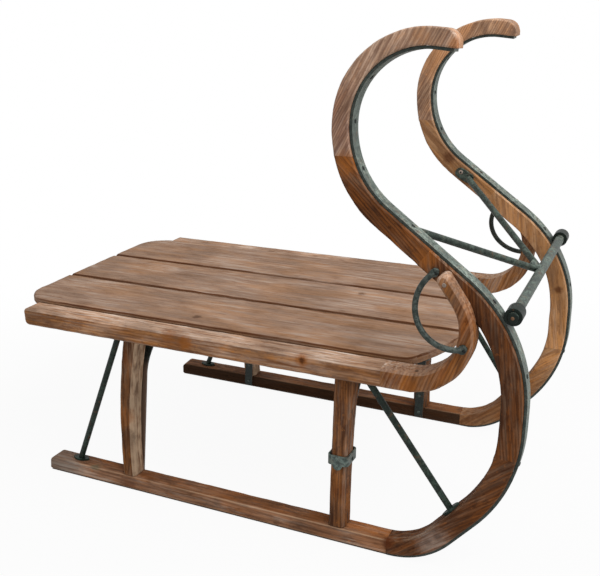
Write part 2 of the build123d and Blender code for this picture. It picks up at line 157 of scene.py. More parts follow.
def with_marks(tree, colour, marks, grain, mode="MIX"):
    """Lay ragged marks over a colour, the large ones broken up by the grain."""
    place = tree.nodes.new("ShaderNodeTexCoord").outputs["Object"]
    ragged = mottle(tree, place, (160, 160, 160), 3.0, 0.6, 2.2)["Color"]
    for mark in marks:
        radius = mark.radius * MM
        middle = tree.nodes.new("ShaderNodeVectorMath")
        middle.operation = "MULTIPLY_ADD"
        link(tree, middle.inputs[0], ragged)
        middle.inputs[1].default_value = [radius * 1.1] * 3
        middle.inputs[2].default_value = [part * MM - radius * 0.55 for part in mark.place]
        away = tree.nodes.new("ShaderNodeVectorMath")
        away.operation = "DISTANCE"
        link(tree, away.inputs[0], place)
        link(tree, away.inputs[1], middle.outputs[0])
        near = ramp(tree, away.outputs["Value"], radius * 1.25, radius * 0.35)
        broken = 0.85 if mark.radius <= SMALL_MARK else 0.35
        near = maths(tree, "MULTIPLY", near, ramp(tree, grain, 0.36, 0.58, broken * mark.share, mark.share))
        colour = blend(tree, near, colour, mark.tint, mode)
    return colour


def ring_share(tree, place):
    """Growth rings round the pith, from pale early wood at 0 to dark late wood at 1."""
    sway = tree.nodes.new("ShaderNodeVectorMath")
    sway.operation = "MULTIPLY_ADD"
    link(tree, sway.inputs[0], mottle(tree, place, (4, 18, 18))["Color"])
    sway.inputs[1].default_value = (0.0, 0.018, 0.018)
    link(tree, sway.inputs[2], place)
    rings = tree.nodes.new("ShaderNodeTexWave")
    rings.wave_type = "RINGS"
    rings.rings_direction = "X"
    link(tree, rings.inputs["Vector"], sway.outputs[0])
    rings.inputs["Scale"].default_value = 57.0
    rings.inputs["Distortion"].default_value = 1.6
    rings.inputs["Detail"].default_value = 2.0
    rings.inputs["Detail Scale"].default_value = 1.5
    return ramp(tree, rings.outputs["Fac"], 0.30, 0.95)


def saw_share(tree, place, pitch):
    """Marks left by the saw, in wavy lines along the grain. The pitch is in radians per metre."""
    across = tree.nodes.new("ShaderNodeVectorMath")
    across.operation = "DOT_PRODUCT"
    link(tree, across.inputs[0], place)
    across.inputs[1].default_value = (0, pitch, 0)
    wobble = maths(tree, "MULTIPLY", mottle(tree, place, (30, 60, 60))["Fac"], 5.0)
    cut = maths(tree, "SINE", maths(tree, "ADD", across.outputs["Value"], wobble))
    return ramp(tree, cut, -0.4, 1.0)


def new_finish(name):
    """A plain material, with its node tree and its shader."""
    finish = bpy.data.materials.new(name)
    finish.use_nodes = True
    return finish, finish.node_tree, finish.node_tree.nodes["Principled BSDF"]


def add_relief(tree, shader, height, depth):
    """Give a finish the feel of brushed grain or hammered iron."""
    relief = tree.nodes.new("ShaderNodeBump")
    relief.inputs["Strength"].default_value = 0.5
    relief.inputs["Distance"].default_value = depth
    link(tree, relief.inputs["Height"], height)
    link(tree, shader.inputs["Normal"], relief.outputs[0])


# Colours of sound wood, of its late rings, of its warm patches and of the lime in it.
Tones = namedtuple("Tones", "heart late warm lime")
# Painted shade, laid in gaps and corners within reach.
GAP_SHADE = (0.060, 0.022, 0.010, 1)
# Painted shade, for faces turned away from the light.
INNER_SHADE = (0.034, 0.016, 0.008, 1)
WOOD_SHADE_REACH = 9 * MM
WOOD_RELIEF = 0.6 * MM


def washed_wood(name, tones, lime_share, contrast, lime_way=UP, veil=0.0, arris=0.5, arris_tint=None,
                arris_across=LEFT, uneven=0.28, shade_way=None, saw_depth=0.0, saw_pitch=0.0,
                stains=(), marks=()):
    """Brushed softwood: growth rings, warm and dark blotches, pores, and lime left in the grain.

    The lime is thickest on faces turned to lime_way, and the veil is the dust on those faces; on the rear
    posts both also lighten the front faces as painted light. Arris is how far the edges are rubbed pale, with
    a painted highlight along them, and painted shade where the arris tint is dark. Uneven is the swing in
    tone, and faces turned the way given for shade are darkened with painted shade, as if out of the light."""
    finish, tree, shader = new_finish(name)
    grain = tree.nodes.new("ShaderNodeAttribute")
    grain.attribute_name = "grain"
    place = grain.outputs["Vector"]
    late_share = ring_share(tree, place)
    fibre = mottle(tree, place, (42, 560, 560))["Fac"]
    streak = mottle(tree, place, (8, 120, 120), 3.0, 0.55)["Fac"]
    patch = mottle(tree, place, (11, 27, 27), 3.0, 0.55, 3.1)["Fac"]
    warm_patch = mottle(tree, place, (9, 32, 32), 3.0, 0.55, 7.7)["Fac"]
    blotch = mottle(tree, place, (46, 92, 92), 4.0, 0.62, 11.3)["Fac"]
    lime_grain = mottle(tree, place, (16, 210, 210), 4.0, 0.65, 5.3)["Fac"]
    line = mottle(tree, place, (15, 240, 240), 3.0, 0.6, 13.7)["Fac"]
    fleck = mottle(tree, place, (120, 240, 240), 3.0, 0.6, 17.9)["Fac"]
    pore = mottle(tree, place, (60, 640, 640), 2.0, 0.5, 9.1)["Fac"]

    colour = blend(tree, maths(tree, "MULTIPLY", late_share, 0.5 * contrast), tones.heart, tones.late)
    colour = blend(tree, ramp(tree, warm_patch, 0.44, 0.66, 0.0, 0.9), colour, tones.warm)
    colour = blend(tree, ramp(tree, blotch, 0.47, 0.30, 0.0, 0.55 * contrast), colour, tones.late)
    colour = blend(tree, ramp(tree, blotch, 0.53, 0.70, 0.0, 0.7), colour, tones.warm)
    colour = blend(tree, ramp(tree, streak, 0.50, 0.28, 0.0, 0.6 * contrast), colour, tones.late)
    colour = blend(tree, ramp(tree, fibre, 0.46, 0.26, 0.0, 0.5 * contrast), colour, tones.late)
    colour = blend(tree, ramp(tree, line, 0.49, 0.34, 0.0, 0.55 * contrast), colour, tones.late)
    colour = blend(tree, ramp(tree, fleck, 0.60, 0.72, 0.0, 0.6 * contrast), colour, tones.warm)
    colour = blend(tree, ramp(tree, fleck, 0.38, 0.28, 0.0, 0.6 * contrast), colour, tones.late)

    toward = facing_share(tree, lime_way)
    filled = maths(tree, "MULTIPLY", ramp(tree, lime_grain, 0.42, 0.66),
                   ramp(tree, patch, 0.34, 0.66, 0.3, 1.0))
    filled = maths(tree, "MULTIPLY", filled, ramp(tree, toward, 0.0, 1.0, 0.35 * lime_share, lime_share))
    # The veil: pale dust on faces turned the lime way, which on the rear posts is also painted light.
    dust = maths(tree, "ADD", maths(tree, "MULTIPLY", blotch, 0.45), maths(tree, "MULTIPLY", line, 0.55))
    dust_and_painted_light = maths(tree, "MULTIPLY", toward, ramp(tree, dust, 0.40, 0.58, 0.3 * veil, veil))
    # Rounded edges are rubbed pale and given a painted highlight; a dark arris tint makes it painted shade
    # instead.
    edge_wear_and_painted_light = maths(tree, "MULTIPLY", ramp(tree, warm_patch, 0.30, 0.55, 0.4 * arris, arris),
                   arris_share(tree, arris_across))
    colour = blend(tree, maths(tree, "MAXIMUM", filled, dust_and_painted_light), colour, tones.lime)
    colour = blend(tree, edge_wear_and_painted_light, colour, arris_tint or tones.lime)
    colour = blend(tree, ramp(tree, pore, 0.33, 0.20, 0.0, 0.8), colour, tones.late)

    height = maths(tree, "MULTIPLY", late_share, 0.4)
    height = maths(tree, "ADD", height, maths(tree, "MULTIPLY", fibre, 0.8))
    height = maths(tree, "ADD", height, maths(tree, "MULTIPLY", streak, 0.6))
    height = maths(tree, "SUBTRACT", height, ramp(tree, pore, 0.34, 0.22, 0.0, 0.8))
    if saw_depth:
        cut = maths(tree, "MULTIPLY", saw_share(tree, place, saw_pitch), flank_share(tree))
        cut = maths(tree, "MULTIPLY", cut, ramp(tree, warm_patch, 0.35, 0.6, 0.4 * saw_depth, saw_depth))
        colour = blend(tree, cut, colour, tones.late)
        height = maths(tree, "SUBTRACT", height, cut)
    colour = with_marks(tree, colour, stains, patch, "MULTIPLY")
    colour = with_marks(tree, colour, marks, line)
    colour = scaled_by(tree, colour, ramp(tree, patch, 0.27, 0.73, 1.0 - uneven, 1.0 + uneven))
    # Painted shade: faces turned the given way, the inner faces of the soles, are darkened as if out of the
    # light.
    if shade_way:
        colour = blend(tree, maths(tree, "MULTIPLY", facing_share(tree, shade_way), 0.88), colour, INNER_SHADE)
    # Painted shade: gaps and corners are darkened as if shade fell in them.
    gap_shaded = maths(tree, "MULTIPLY", gap_shade_share(tree, WOOD_SHADE_REACH), 0.75)
    colour = blend(tree, gap_shaded, colour, GAP_SHADE)

    add_relief(tree, shader, height, WOOD_RELIEF)
    link(tree, shader.inputs["Base Color"], colour)
    link(tree, shader.inputs["Roughness"], ramp(tree, streak, 0.3, 0.7, 0.62, 0.85))
    shader.inputs["Specular IOR Level"].default_value = 0.08
    return finish


def new_piece(name, shape, finish):
    """Finish a mesh as a piece of the object."""
    mesh = bpy.data.meshes.new(name)
    shape.to_mesh(mesh)
    shape.free()
    for face in mesh.polygons:
        face.use_smooth = True
    piece = bpy.data.objects.new(name, mesh)
    bpy.context.scene.collection.objects.link(piece)
    mesh.materials.append(finish)
    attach(piece, "root")
    return piece


def flat_normals(piece):
    """Keep broad faces flat where they meet their rounded edges."""
    even = piece.modifiers.new("flat faces", "WEIGHTED_NORMAL")
    even.weight = 100
    even.keep_sharp = True


def skin_of(node):
    """Surface of a CAD node, to measure to and to cast lines at."""
    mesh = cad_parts[node].data
    corners = [vert.co for vert in mesh.vertices]
    return BVHTree.FromPolygons(corners, [face.vertices for face in mesh.polygons])


# Rounding of a timber's edges, depth of its dents, and the ways and steps in which its mesh is cut.
Wear = namedtuple("Wear", "round_off dents cuts")
# A run of grain up to a place along the sled, the axes of its log, and the timber's place in the log.
Grain = namedtuple("Grain", "until along across log")
ALL_ALONG = 9.0             # further forward than any piece
WELD_REACH = 0.002 * MM     # corners this near each other are one
CUT_SNAP = 0.02 * MM        # corners this near a cut lie on it
FLAT_TURN = radians(1.0)    # faces that turn less than this are one face
SHARP_TURN = radians(25)    # edges that turn more than this are rounded
CREASE_TURN = radians(50)   # edges that turn more than this are shaded as creases
EDGE_TURN = radians(8)      # edges that turn more than this are dented in full
FACE_DENTS = 0.25           # share of that depth elsewhere
KEEP_OFF = 5 * MM           # wood this near its irons isn't dented
BROAD_DENTS = 34            # frequencies per metre
SMALL_DENTS = 110


def cut_across(shape, place, way):
    """Cut a mesh through a place, square to one way, and keep both sides."""
    bmesh.ops.bisect_plane(shape, geom=shape.verts[:] + shape.edges[:] + shape.faces[:],
                           plane_co=place, plane_no=way, dist=CUT_SNAP)


def slice_mesh(shape, low, high, cuts):
    """Cut a mesh across at even steps, so that its faces can be dented."""
    for way, gap in cuts:
        start = low.dot(way)
        length = (high - low).dot(way)
        count = int(length / gap)
        for number in range(1, count):
            cut_across(shape, way * (start + length * number / count), way)


def worn_edges(node):
    """Mesh of a timber and its sharp edges, apart from those round a runner segment's butt ends."""
    shape = bmesh.new()
    shape.from_mesh(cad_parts[node].data)
    bmesh.ops.remove_doubles(shape, verts=shape.verts, dist=WELD_REACH)
    bmesh.ops.dissolve_limit(shape, angle_limit=FLAT_TURN, verts=shape.verts, edges=shape.edges)
    sharp = {edge for edge in shape.edges if edge.calc_face_angle(0.0) > SHARP_TURN}
    for face in shape.faces:
        butt_end = abs(face.normal.y) < 0.5 and all(edge in sharp for edge in face.edges)
        if butt_end and node.startswith("runner"):
            sharp -= set(face.edges)
    return shape, [edge for edge in shape.edges if edge in sharp]


def dent(shape, depth, fixed):
    """Push a timber's surface in unevenly, most at its edges, apart from what is fixed or sharp."""
    moves = []
    for vert in shape.verts:
        covered = any(skin.find_nearest(vert.co, KEEP_OFF)[0] for skin in fixed)
        if covered or not all(edge.smooth for edge in vert.link_edges):
            continue
        turn = max(edge.calc_face_angle(0.0) for edge in vert.link_edges)
        rub = abs(noise.noise(vert.co * BROAD_DENTS)) + 0.5 * abs(noise.noise(vert.co * SMALL_DENTS))
        share = 1.0 if turn > EDGE_TURN else FACE_DENTS
        moves.append((vert, vert.normal * (-depth * share * rub)))
    for vert, move in moves:
        vert.co += move


def lay_grain(piece, grain, middle):
    """Give each face its place in the log that its plank was sawn from."""
    layer = piece.data.attributes.new("grain", "FLOAT_VECTOR", "CORNER")
    for face in piece.data.polygons:
        run = next(run for run in grain if face.center.x < run.until)
        axes = (run.along, run.across, run.along.cross(run.across))
        for corner in face.loop_indices:
            away = piece.data.vertices[piece.data.loops[corner].vertex_index].co - middle
            layer.data[corner].vector = Vector([away.dot(axis) for axis in axes]) + Vector(run.log)


def worn_timber(node, finish, grain, wear, beside=()):
    """A sawn timber with rubbed edges, left true at butt ends and beside the nodes fixed to it."""
    shape, edges = worn_edges(node)
    bmesh.ops.bevel(shape, geom=edges, offset=wear.round_off, offset_type="OFFSET", affect="EDGES",
                    segments=2, profile=0.5, material=-1, clamp_overlap=True)
    low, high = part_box(node)
    slice_mesh(shape, low, high, wear.cuts)
    for run in grain[:-1]:
        cut_across(shape, FORWARD * run.until, FORWARD)
    shape.normal_update()
    for edge in shape.edges:
        edge.smooth = edge.calc_face_angle(0.0) < CREASE_TURN
    dent(shape, wear.dents, [skin_of(name) for name in beside])
    piece = new_piece(node + "_timber", shape, finish)
    lay_grain(piece, grain, (low + high) / 2)
    flat_normals(piece)
    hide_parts(node)


def in_side(heading):
    """Step along a heading of the side frame, in degrees above forward."""
    return Vector((cos(radians(heading)), 0, sin(radians(heading))))


RUST_RED = (0.10, 0.026, 0.008, 1)
ORANGE = (0.28, 0.090, 0.016, 1)
KNOT_BROWN = (0.045, 0.018, 0.010, 1)
PALE_LIME = (0.34, 0.28, 0.24, 1)
GREY_LIME = (0.26, 0.215, 0.18, 1)
VERDIGRIS = (0.09, 0.115, 0.075, 1)

sole_tones = Tones(heart=(0.30, 0.140, 0.068, 1), late=(0.11, 0.046, 0.022, 1),
                   warm=(0.34, 0.120, 0.033, 1), lime=(0.50, 0.39, 0.31, 1))
sole_stains = [Mark((-301, -205, 15), 44, (0.74, 0.82, 0.90, 1), 1.0)]
sole_marks = [
    Mark((-301, -205, 15), 36, GREY_LIME, 0.7),
    Mark((-239, -204, 29), 12, VERDIGRIS, 0.6),
    Mark((214, -204, 20), 9, RUST_RED, 0.85),
    Mark((-178, -205, 12), 14, RUST_RED, 0.4),
    Mark((-150, -190, 33), 22, ORANGE, 0.5),
    Mark((110, -190, 33), 20, ORANGE, 0.5),
]
# The soles' inner faces are darkened with painted shade, and their rounded edges rubbed pale with a painted
# highlight.
sole_wood = {
    side: washed_wood(f"sole wood {side}", sole_tones, lime_share=0.6, contrast=1.3,
                      lime_way=(0, way, 0), veil=0.12, arris=0.8, arris_tint=(0.46, 0.29, 0.18, 1),
                      shade_way=(0, -way, 0), stains=sole_stains, marks=sole_marks)
    for side, way in SIDES.items()}

red_tones = Tones(heart=(0.150, 0.055, 0.019, 1), late=(0.046, 0.016, 0.007, 1),
                  warm=(0.215, 0.067, 0.0135, 1), lime=(0.32, 0.220, 0.15, 1))
red_wood = washed_wood(
    "red wood", red_tones, lime_share=0.85, contrast=1.3, arris=0.12, saw_depth=0.45, saw_pitch=1700,
    stains=[Mark((352, -184, 215), 75, (0.76, 0.74, 0.72, 1), 1.0)],
    marks=[Mark((142, -184, 496), 17, ORANGE, 0.8),
           Mark((243, -188, 399), 17, ORANGE, 0.7),
           Mark((272, -204, 38), 24, PALE_LIME, 0.48),
           Mark((278, -203, 46), 6, KNOT_BROWN, 0.5),
           Mark((266, -204, 35), 6, KNOT_BROWN, 0.4),
           Mark((214, -204, 20), 9, RUST_RED, 0.85)])

horn_tones = Tones(heart=(0.48, 0.305, 0.205, 1), late=(0.20, 0.108, 0.070, 1),
                   warm=(0.47, 0.245, 0.130, 1), lime=(0.62, 0.50, 0.41, 1))
horn_wood = washed_wood(
    "horn wood", horn_tones, lime_share=0.75, contrast=1.3, arris=0.15, saw_depth=0.6, saw_pitch=2150,
    stains=[Mark((140, -180, 545), 44, (0.72, 0.68, 0.74, 1), 1.0),
            Mark((190, 150, 590), 95, (1.50, 1.36, 1.12, 1), 1.0)],
    marks=[Mark((264, -178, 629), 9, ORANGE, 0.6),
           Mark((142, -184, 500), 12, ORANGE, 0.5),
           Mark((150, 150, 590), 26, (0.34, 0.15, 0.055, 1), 0.55),
           Mark((225, -180, 638), 13, (0.40, 0.17, 0.06, 1), 0.5)])

tan_tones = Tones(heart=(0.50, 0.275, 0.135, 1), late=(0.25, 0.115, 0.050, 1),
                  warm=(0.52, 0.235, 0.078, 1), lime=(0.64, 0.50, 0.38, 1))
tan_wood = washed_wood(
    "tan wood", tan_tones, lime_share=0.6, contrast=1.2, arris=0.12,
    stains=[Mark((280, 175, 40), 110, (0.50, 0.40, 0.33, 1), 1.0)],
    marks=[Mark((177, 158, 450), 10, RUST_RED, 0.75),
           Mark((351, 166, 261), 7, RUST_RED, 0.8),
           Mark((144, 156, 507), 6, RUST_RED, 0.5)])

# Segment, finish on the right and on the left, heading of its grain, and its place in the log.
runner_planks = [
    ("runner_sole", sole_wood["right"], sole_wood["left"], 0, (1.3, 0.030, -0.021)),
    ("runner_toe", red_wood, tan_wood, 38, (2.6, -0.034, 0.018)),
    ("runner_bow", red_wood, tan_wood, 97, (3.9, 0.026, 0.030)),
    ("runner_neck", red_wood, tan_wood, 136, (5.2, -0.022, -0.028)),
    ("runner_horn", horn_wood, horn_wood, 62, (6.5, 0.036, 0.015)),
]
FAR_ALONG_LOG = 0.6         # the two sides come from this far each way along a log
runner_wear = Wear(round_off=0.9 * MM, dents=0.7 * MM, cuts=[(FORWARD, 9 * MM), (UP, 9 * MM)])
for name, right_finish, left_finish, heading, (run, pith_across, pith_deep) in runner_planks:
    for side, finish in (("right", right_finish), ("left", left_finish)):
        log = (run + FAR_ALONG_LOG * SIDES[side], pith_across, pith_deep)
        grain = [Grain(ALL_ALONG, in_side(heading), in_side(heading + 90), log)]
        worn_timber(f"{name}_{side}", finish, grain, runner_wear,
                    beside=(f"runner_iron_{side}", f"runner_shoe_{side}"))

# Runner irons: flat bar bent round the outer edge of each runner and nailed on, with a shoe under
# the sole that the floor has worn flat. Damp has left a dull grey-green bloom on the dark iron.
DUST_TINT = (1.10, 0.72, 0.62, 1.0)     # dust is bloom, turned brown
RUST_SPECK = (0.10, 0.045, 0.02, 1)
FLANK_SHADE = (0.008, 0.012, 0.010, 1)
# Painted shade for the iron's gaps and corners.
IRON_GAP_SHADE = (0.008, 0.010, 0.009, 1)
LEG_STAIN = (0.17, 0.105, 0.070, 1)
STAIN_FADE = 20 * MM
EDGE_REACH = 1.2 * MM
IRON_SHADE_REACH = 6 * MM
IRON_RELIEF = 0.5 * MM
HAMMERED_TURN = radians(40)             # edges that turn more than this are eased
Head = namedtuple("Head", "radius height")


def edge_share(tree, reach):
    """How near a point is to a rounded edge, from 0 to 1."""
    soft = tree.nodes.new("ShaderNodeBevel")
    soft.samples = 6
    soft.inputs["Radius"].default_value = reach
    return ramp(tree, turned_to(tree, soft.outputs[0]), 0.99, 0.80)


def patina_iron(name, dark, bloom, bloom_share, flank_shade=0.0, shine=0.3,
                stained_below=0.0, stain_way=FORWARD):
    """Dark forged iron with a grey-green bloom where dust and damp settle, specks of rust, a painted
    highlight along its edges, and painted shade in its gaps and, where set, on its flanks.

    Below a height, faces turned to stain_way are brushed over with the stain of the legs."""
    finish, tree, shader = new_finish(name)
    place = tree.nodes.new("ShaderNodeTexCoord").outputs["Object"]
    broad = mottle(tree, place, (27, 27, 27), 4.0, 0.65)["Fac"]
    fine = mottle(tree, place, (210, 210, 210), 4.0, 0.7)["Fac"]
    spot = mottle(tree, place, (130, 130, 130), 2.0, 0.6, 4.2)["Fac"]
    settle = maths(tree, "MULTIPLY", ramp(tree, broad, 0.36, 0.62, 0.3, 1.0),
                   ramp(tree, fine, 0.40, 0.60, 0.12, 1.0))
    settle = maths(tree, "MULTIPLY", settle, ramp(tree, facing_share(tree, UP), 0.0, 1.0, 0.7, 1.0))
    settle = maths(tree, "MULTIPLY", settle, bloom_share)
    dust = [part * share for part, share in zip(bloom, DUST_TINT)]
    dusty = blend(tree, ramp(tree, spot, 0.45, 0.62, 0.0, 0.45), bloom, dust)
    colour = blend(tree, settle, dark, dusty)
    colour = blend(tree, ramp(tree, spot, 0.63, 0.74, 0.0, 0.6), colour, RUST_SPECK)
    colour = blend(tree, ramp(tree, spot, 0.38, 0.28, 0.0, 0.85), colour, dark)
    # Painted highlight: the bloom colour is laid along the rounded edges, where light would catch them.
    edge_wear_and_painted_light = maths(tree, "MULTIPLY", edge_share(tree, EDGE_REACH), 0.25 * bloom_share)
    colour = blend(tree, edge_wear_and_painted_light, colour, bloom)
    # Painted shade: the flanks, which face right or left, are darkened almost to black.
    if flank_shade:
        colour = blend(tree, maths(tree, "MULTIPLY", flank_share(tree), flank_shade), colour, FLANK_SHADE)
    # Painted shade: gaps and corners are darkened almost to black.
    gap_shaded = maths(tree, "MULTIPLY", gap_shade_share(tree, IRON_SHADE_REACH), 0.8)
    colour = blend(tree, gap_shaded, colour, IRON_GAP_SHADE)
    if stained_below:
        split = tree.nodes.new("ShaderNodeSeparateXYZ")
        link(tree, split.inputs[0], place)
        low_down = ramp(tree, split.outputs["Z"], stained_below, stained_below - STAIN_FADE, 0.0, 0.9)
        brushed = maths(tree, "MULTIPLY", facing_share(tree, stain_way), low_down)
        colour = blend(tree, brushed, colour, LEG_STAIN)
    add_relief(tree, shader, maths(tree, "ADD", fine, broad), IRON_RELIEF)
    link(tree, shader.inputs["Base Color"], colour)
    link(tree, shader.inputs["Roughness"], ramp(tree, settle, 0.0, 1.0, 0.45, 0.80))
    shader.inputs["Metallic"].default_value = 0.15
    shader.inputs["Specular IOR Level"].default_value = shine
    return finish


def forged(node, finish, round_off):
    """Give a CAD iron its finish, with edges eased by the hammer."""
    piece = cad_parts[node]
    piece.data.materials.clear()
    piece.data.materials.append(finish)
    for face in piece.data.polygons:
        face.use_smooth = True
    joined = piece.modifiers.new("one skin", "WELD")
    joined.merge_threshold = WELD_REACH
    eased = piece.modifiers.new("eased edges", "BEVEL")
    eased.width = round_off
    eased.segments = 2
    eased.limit_method = "ANGLE"
    eased.angle_limit = HAMMERED_TURN
    flat_normals(piece)


def nail_heads(name, spots, head, finish):
    """Domed heads in one mesh, each where a line from a start first meets a node."""
    shape = bmesh.new()
    squash = Matrix.Diagonal((1.0, 1.0, head.height / head.radius, 1.0))
    for node, start, way in spots:
        spot, normal = skin_of(node).ray_cast(Vector(start), way)[:2]
        stand = Matrix.Translation(spot) @ normal.to_track_quat("Z", "Y").to_matrix().to_4x4()
        bmesh.ops.create_uvsphere(shape, u_segments=12, v_segments=8, radius=head.radius,
                                  matrix=stand @ squash)
    new_piece(name, shape, finish)


FLAT_EDGE = 0.5 * MM        # easing of flat bar
RUNNER_MIDDLE = 191.3 * MM  # from the middle of the sled to the middle of a runner, at the floor
RUNNER_LEAN = 0.043         # inwards, for each step up
AHEAD = 1.0                 # well in front of the sled
IRON_NAIL = Head(radius=3.0 * MM, height=1.1 * MM)
nail_heights = (0.100, 0.158, 0.268, 0.351, 0.428, 0.490, 0.543, 0.592)
# The strip's flanks are darkened with painted shade.
strip_iron = patina_iron("strip iron", (0.034, 0.050, 0.040, 1), (0.280, 0.335, 0.290, 1), 1.0,
                         flank_shade=0.7)
shoe_iron = patina_iron("shoe iron", (0.090, 0.050, 0.030, 1), (0.20, 0.130, 0.085, 1), 0.9)
nail_iron = patina_iron("nail iron", (0.006, 0.008, 0.007, 1), (0.04, 0.05, 0.045, 1), 0.4, shine=0.2)
for side, way in SIDES.items():
    iron = f"runner_iron_{side}"
    forged(f"runner_shoe_{side}", shoe_iron, FLAT_EDGE)
    forged(iron, strip_iron, FLAT_EDGE)
    spots = [(iron, (AHEAD, way * (RUNNER_MIDDLE - RUNNER_LEAN * height), height), -FORWARD)
             for height in nail_heights]
    nail_heads(f"iron_nails_{side}", spots, IRON_NAIL, nail_iron)

# Legs: four posts split from softwood, tenoned into the soles and shouldered under the benches.
# They are stained like the runners, with lime rubbed into their front faces. On the rear legs the lime and
# a pale veil also lighten the front faces as painted light.
NEAR_BLACK = (0.022, 0.012, 0.008, 1)
post_tones = Tones(heart=(0.19, 0.077, 0.029, 1), late=(0.058, 0.021, 0.009, 1),
                   warm=(0.28, 0.098, 0.021, 1), lime=(0.46, 0.35, 0.27, 1))
post_marks = [
    Mark((-180, -202, 84), 17, NEAR_BLACK, 0.6),
    Mark((-177, -200, 118), 14, ORANGE, 0.5),
    Mark((148, -202, 77), 14, RUST_RED, 0.5),
    Mark((-176, -196, 205), 14, RUST_RED, 0.5),
]
front_post = washed_wood("front post wood", post_tones, lime_share=0.35, contrast=1.5, lime_way=FORWARD,
                         arris=0.1, saw_depth=0.35, saw_pitch=1900, marks=post_marks)
# Painted light: the heavy lime and veil on the rear posts' front faces also stand for light falling on them.
rear_post = washed_wood("rear post wood", post_tones._replace(lime=(0.53, 0.38, 0.255, 1)),
                        lime_share=0.9, contrast=1.2, lime_way=FORWARD, veil=0.95, arris=0.3,
                        marks=post_marks)
# Leg, finish, and its place in the log.
posts = [
    ("front_leg", front_post, (8.0, 0.014, 0.016)),
    ("rear_leg", rear_post, (9.1, -0.012, 0.018)),
]
leg_wear = Wear(round_off=1.8 * MM, dents=0.8 * MM, cuts=[(UP, 6 * MM)])
for side, way in SIDES.items():
    for name, finish, (run, pith_across, pith_deep) in posts:
        grain = [Grain(ALL_ALONG, UP, FORWARD, (run + FAR_ALONG_LOG * way, pith_across, pith_deep))]
        worn_timber(f"{name}_{side}", finish, grain, leg_wear)

# Leg straps and bands: flat iron riveted up the inner face of each leg and curled in under the
# seat. A band with a round tongue, closed by a screw, clamps each front strap to its leg.
STRAP_WIDTH = 14 * MM
STAIN_TOP = 0.200           # the legs' stain has been brushed over the straps up to here
SCREW_DOWN = 9 * MM         # from the top of the band
RIVET = Head(radius=2.6 * MM, height=1.2 * MM)
rivet_heights = (0.014, 0.045, 0.085, 0.145)
band_iron = patina_iron("band iron", (0.030, 0.042, 0.037, 1), (0.205, 0.265, 0.235, 1), 1.0)
for side, way in SIDES.items():
    band = f"leg_band_{side}"
    forged(band, band_iron, FLAT_EDGE)
    shade_iron = patina_iron(f"shade iron {side}", (0.008, 0.012, 0.010, 1), (0.055, 0.075, 0.062, 1), 0.7,
                             stained_below=STAIN_TOP, stain_way=(0.7, 0.7 * way, 0))
    spots = []
    for strap in (f"front_strap_{side}", f"rear_strap_{side}"):
        forged(strap, shade_iron, FLAT_EDGE)
        low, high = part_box(strap)
        foot = low.x + STRAP_WIDTH / 2
        lean = (high.x - low.x - STRAP_WIDTH) / (high.z - low.z)
        for height in rivet_heights:
            spots.append((strap, (foot + lean * (height - low.z), 0, height), LEFT * way))
    nail_heads(f"strap_rivets_{side}", spots, RIVET, band_iron)
    low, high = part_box(band)
    screw = (AHEAD, (low.y + high.y) / 2, high.z - SCREW_DOWN)
    nail_heads(f"band_screw_{side}", [(band, screw, -FORWARD)], RIVET, nail_iron)

# Stays: round iron rods that brace the legs, from a leaf foot hammered flat on the runner up to
# the underside of the rail. They were left dark, with little bloom.
STAY_EDGE = 0.6 * MM
dark_rod = patina_iron("dark rod", (0.006, 0.011, 0.008, 1), (0.060, 0.095, 0.074, 1), 0.85, shine=0.2)
for side in SIDES:
    for name in ("front_stay", "rear_stay"):
        forged(f"{name}_{side}", dark_rod, STAY_EDGE)

# Benches: two sawn softwood timbers across the sled, on the shoulders of the legs, that carry the
# boards. They are stained dark, with little lime.
bench_tones = Tones(heart=(0.17, 0.08, 0.038, 1), late=(0.07, 0.03, 0.015, 1),
                    warm=(0.22, 0.09, 0.03, 1), lime=(0.36, 0.27, 0.20, 1))
bench_wood = washed_wood("bench wood", bench_tones, lime_share=0.4, contrast=1.2)
bench_wear = Wear(round_off=1.5 * MM, dents=0.8 * MM, cuts=[(LEFT, 12 * MM)])
for name, run in (("front_bench", 11.0), ("rear_bench", 12.3)):
    grain = [Grain(ALL_ALONG, LEFT, FORWARD, (run, 0.03, 0.02))]
    worn_timber(name, bench_wood, grain, bench_wear)

# Rails: straight sawn timbers, scarfed to a curved front piece that curls up and laps on the neck
# of the runner, where a nail holds it. Lime fills their top faces.
RAIL_SCARF = 0.200
CURL_GRAIN = 70             # heading of the curved piece's grain
OUTSIDE = 1.0               # well to the side of the sled
LAP_NAIL = Head(radius=2.6 * MM, height=0.8 * MM)
LAP_NAIL_AHEAD = 0.272
LAP_NAIL_UP = 0.374
rail_tones = Tones(heart=(0.37, 0.185, 0.088, 1), late=(0.145, 0.058, 0.025, 1),
                   warm=(0.43, 0.170, 0.043, 1), lime=(0.60, 0.485, 0.40, 1))
rail_wood = washed_wood(
    "rail wood", rail_tones, lime_share=0.95, contrast=1.25, veil=0.4, arris=0.2, saw_depth=0.4,
    saw_pitch=1500,
    stains=[Mark((262, -210, 285), 66, (0.66, 0.52, 0.40, 1), 1.0),
            Mark((297, -205, 345), 46, (0.72, 0.60, 0.50, 1), 1.0),
            Mark((270, 205, 290), 80, (0.84, 0.80, 0.74, 1), 1.0)],
    marks=[Mark((99, -210, 254), 10, ORANGE, 0.9),
           Mark((99, -210, 254), 5, (0.05, 0.014, 0.005, 1), 0.9),
           Mark((-92, -210, 251), 16, ORANGE, 0.7),
           Mark((-69, -210, 250), 12, (0.34, 0.105, 0.014, 1), 0.8),
           Mark((-320, -210, 250), 18, (0.10, 0.05, 0.025, 1), 0.6),
           Mark((212, -210, 250), 13, RUST_RED, 0.6),
           Mark((236, -210, 245), 12, ORANGE, 0.7),
           Mark((242, -200, 261), 3, NEAR_BLACK, 0.9)])
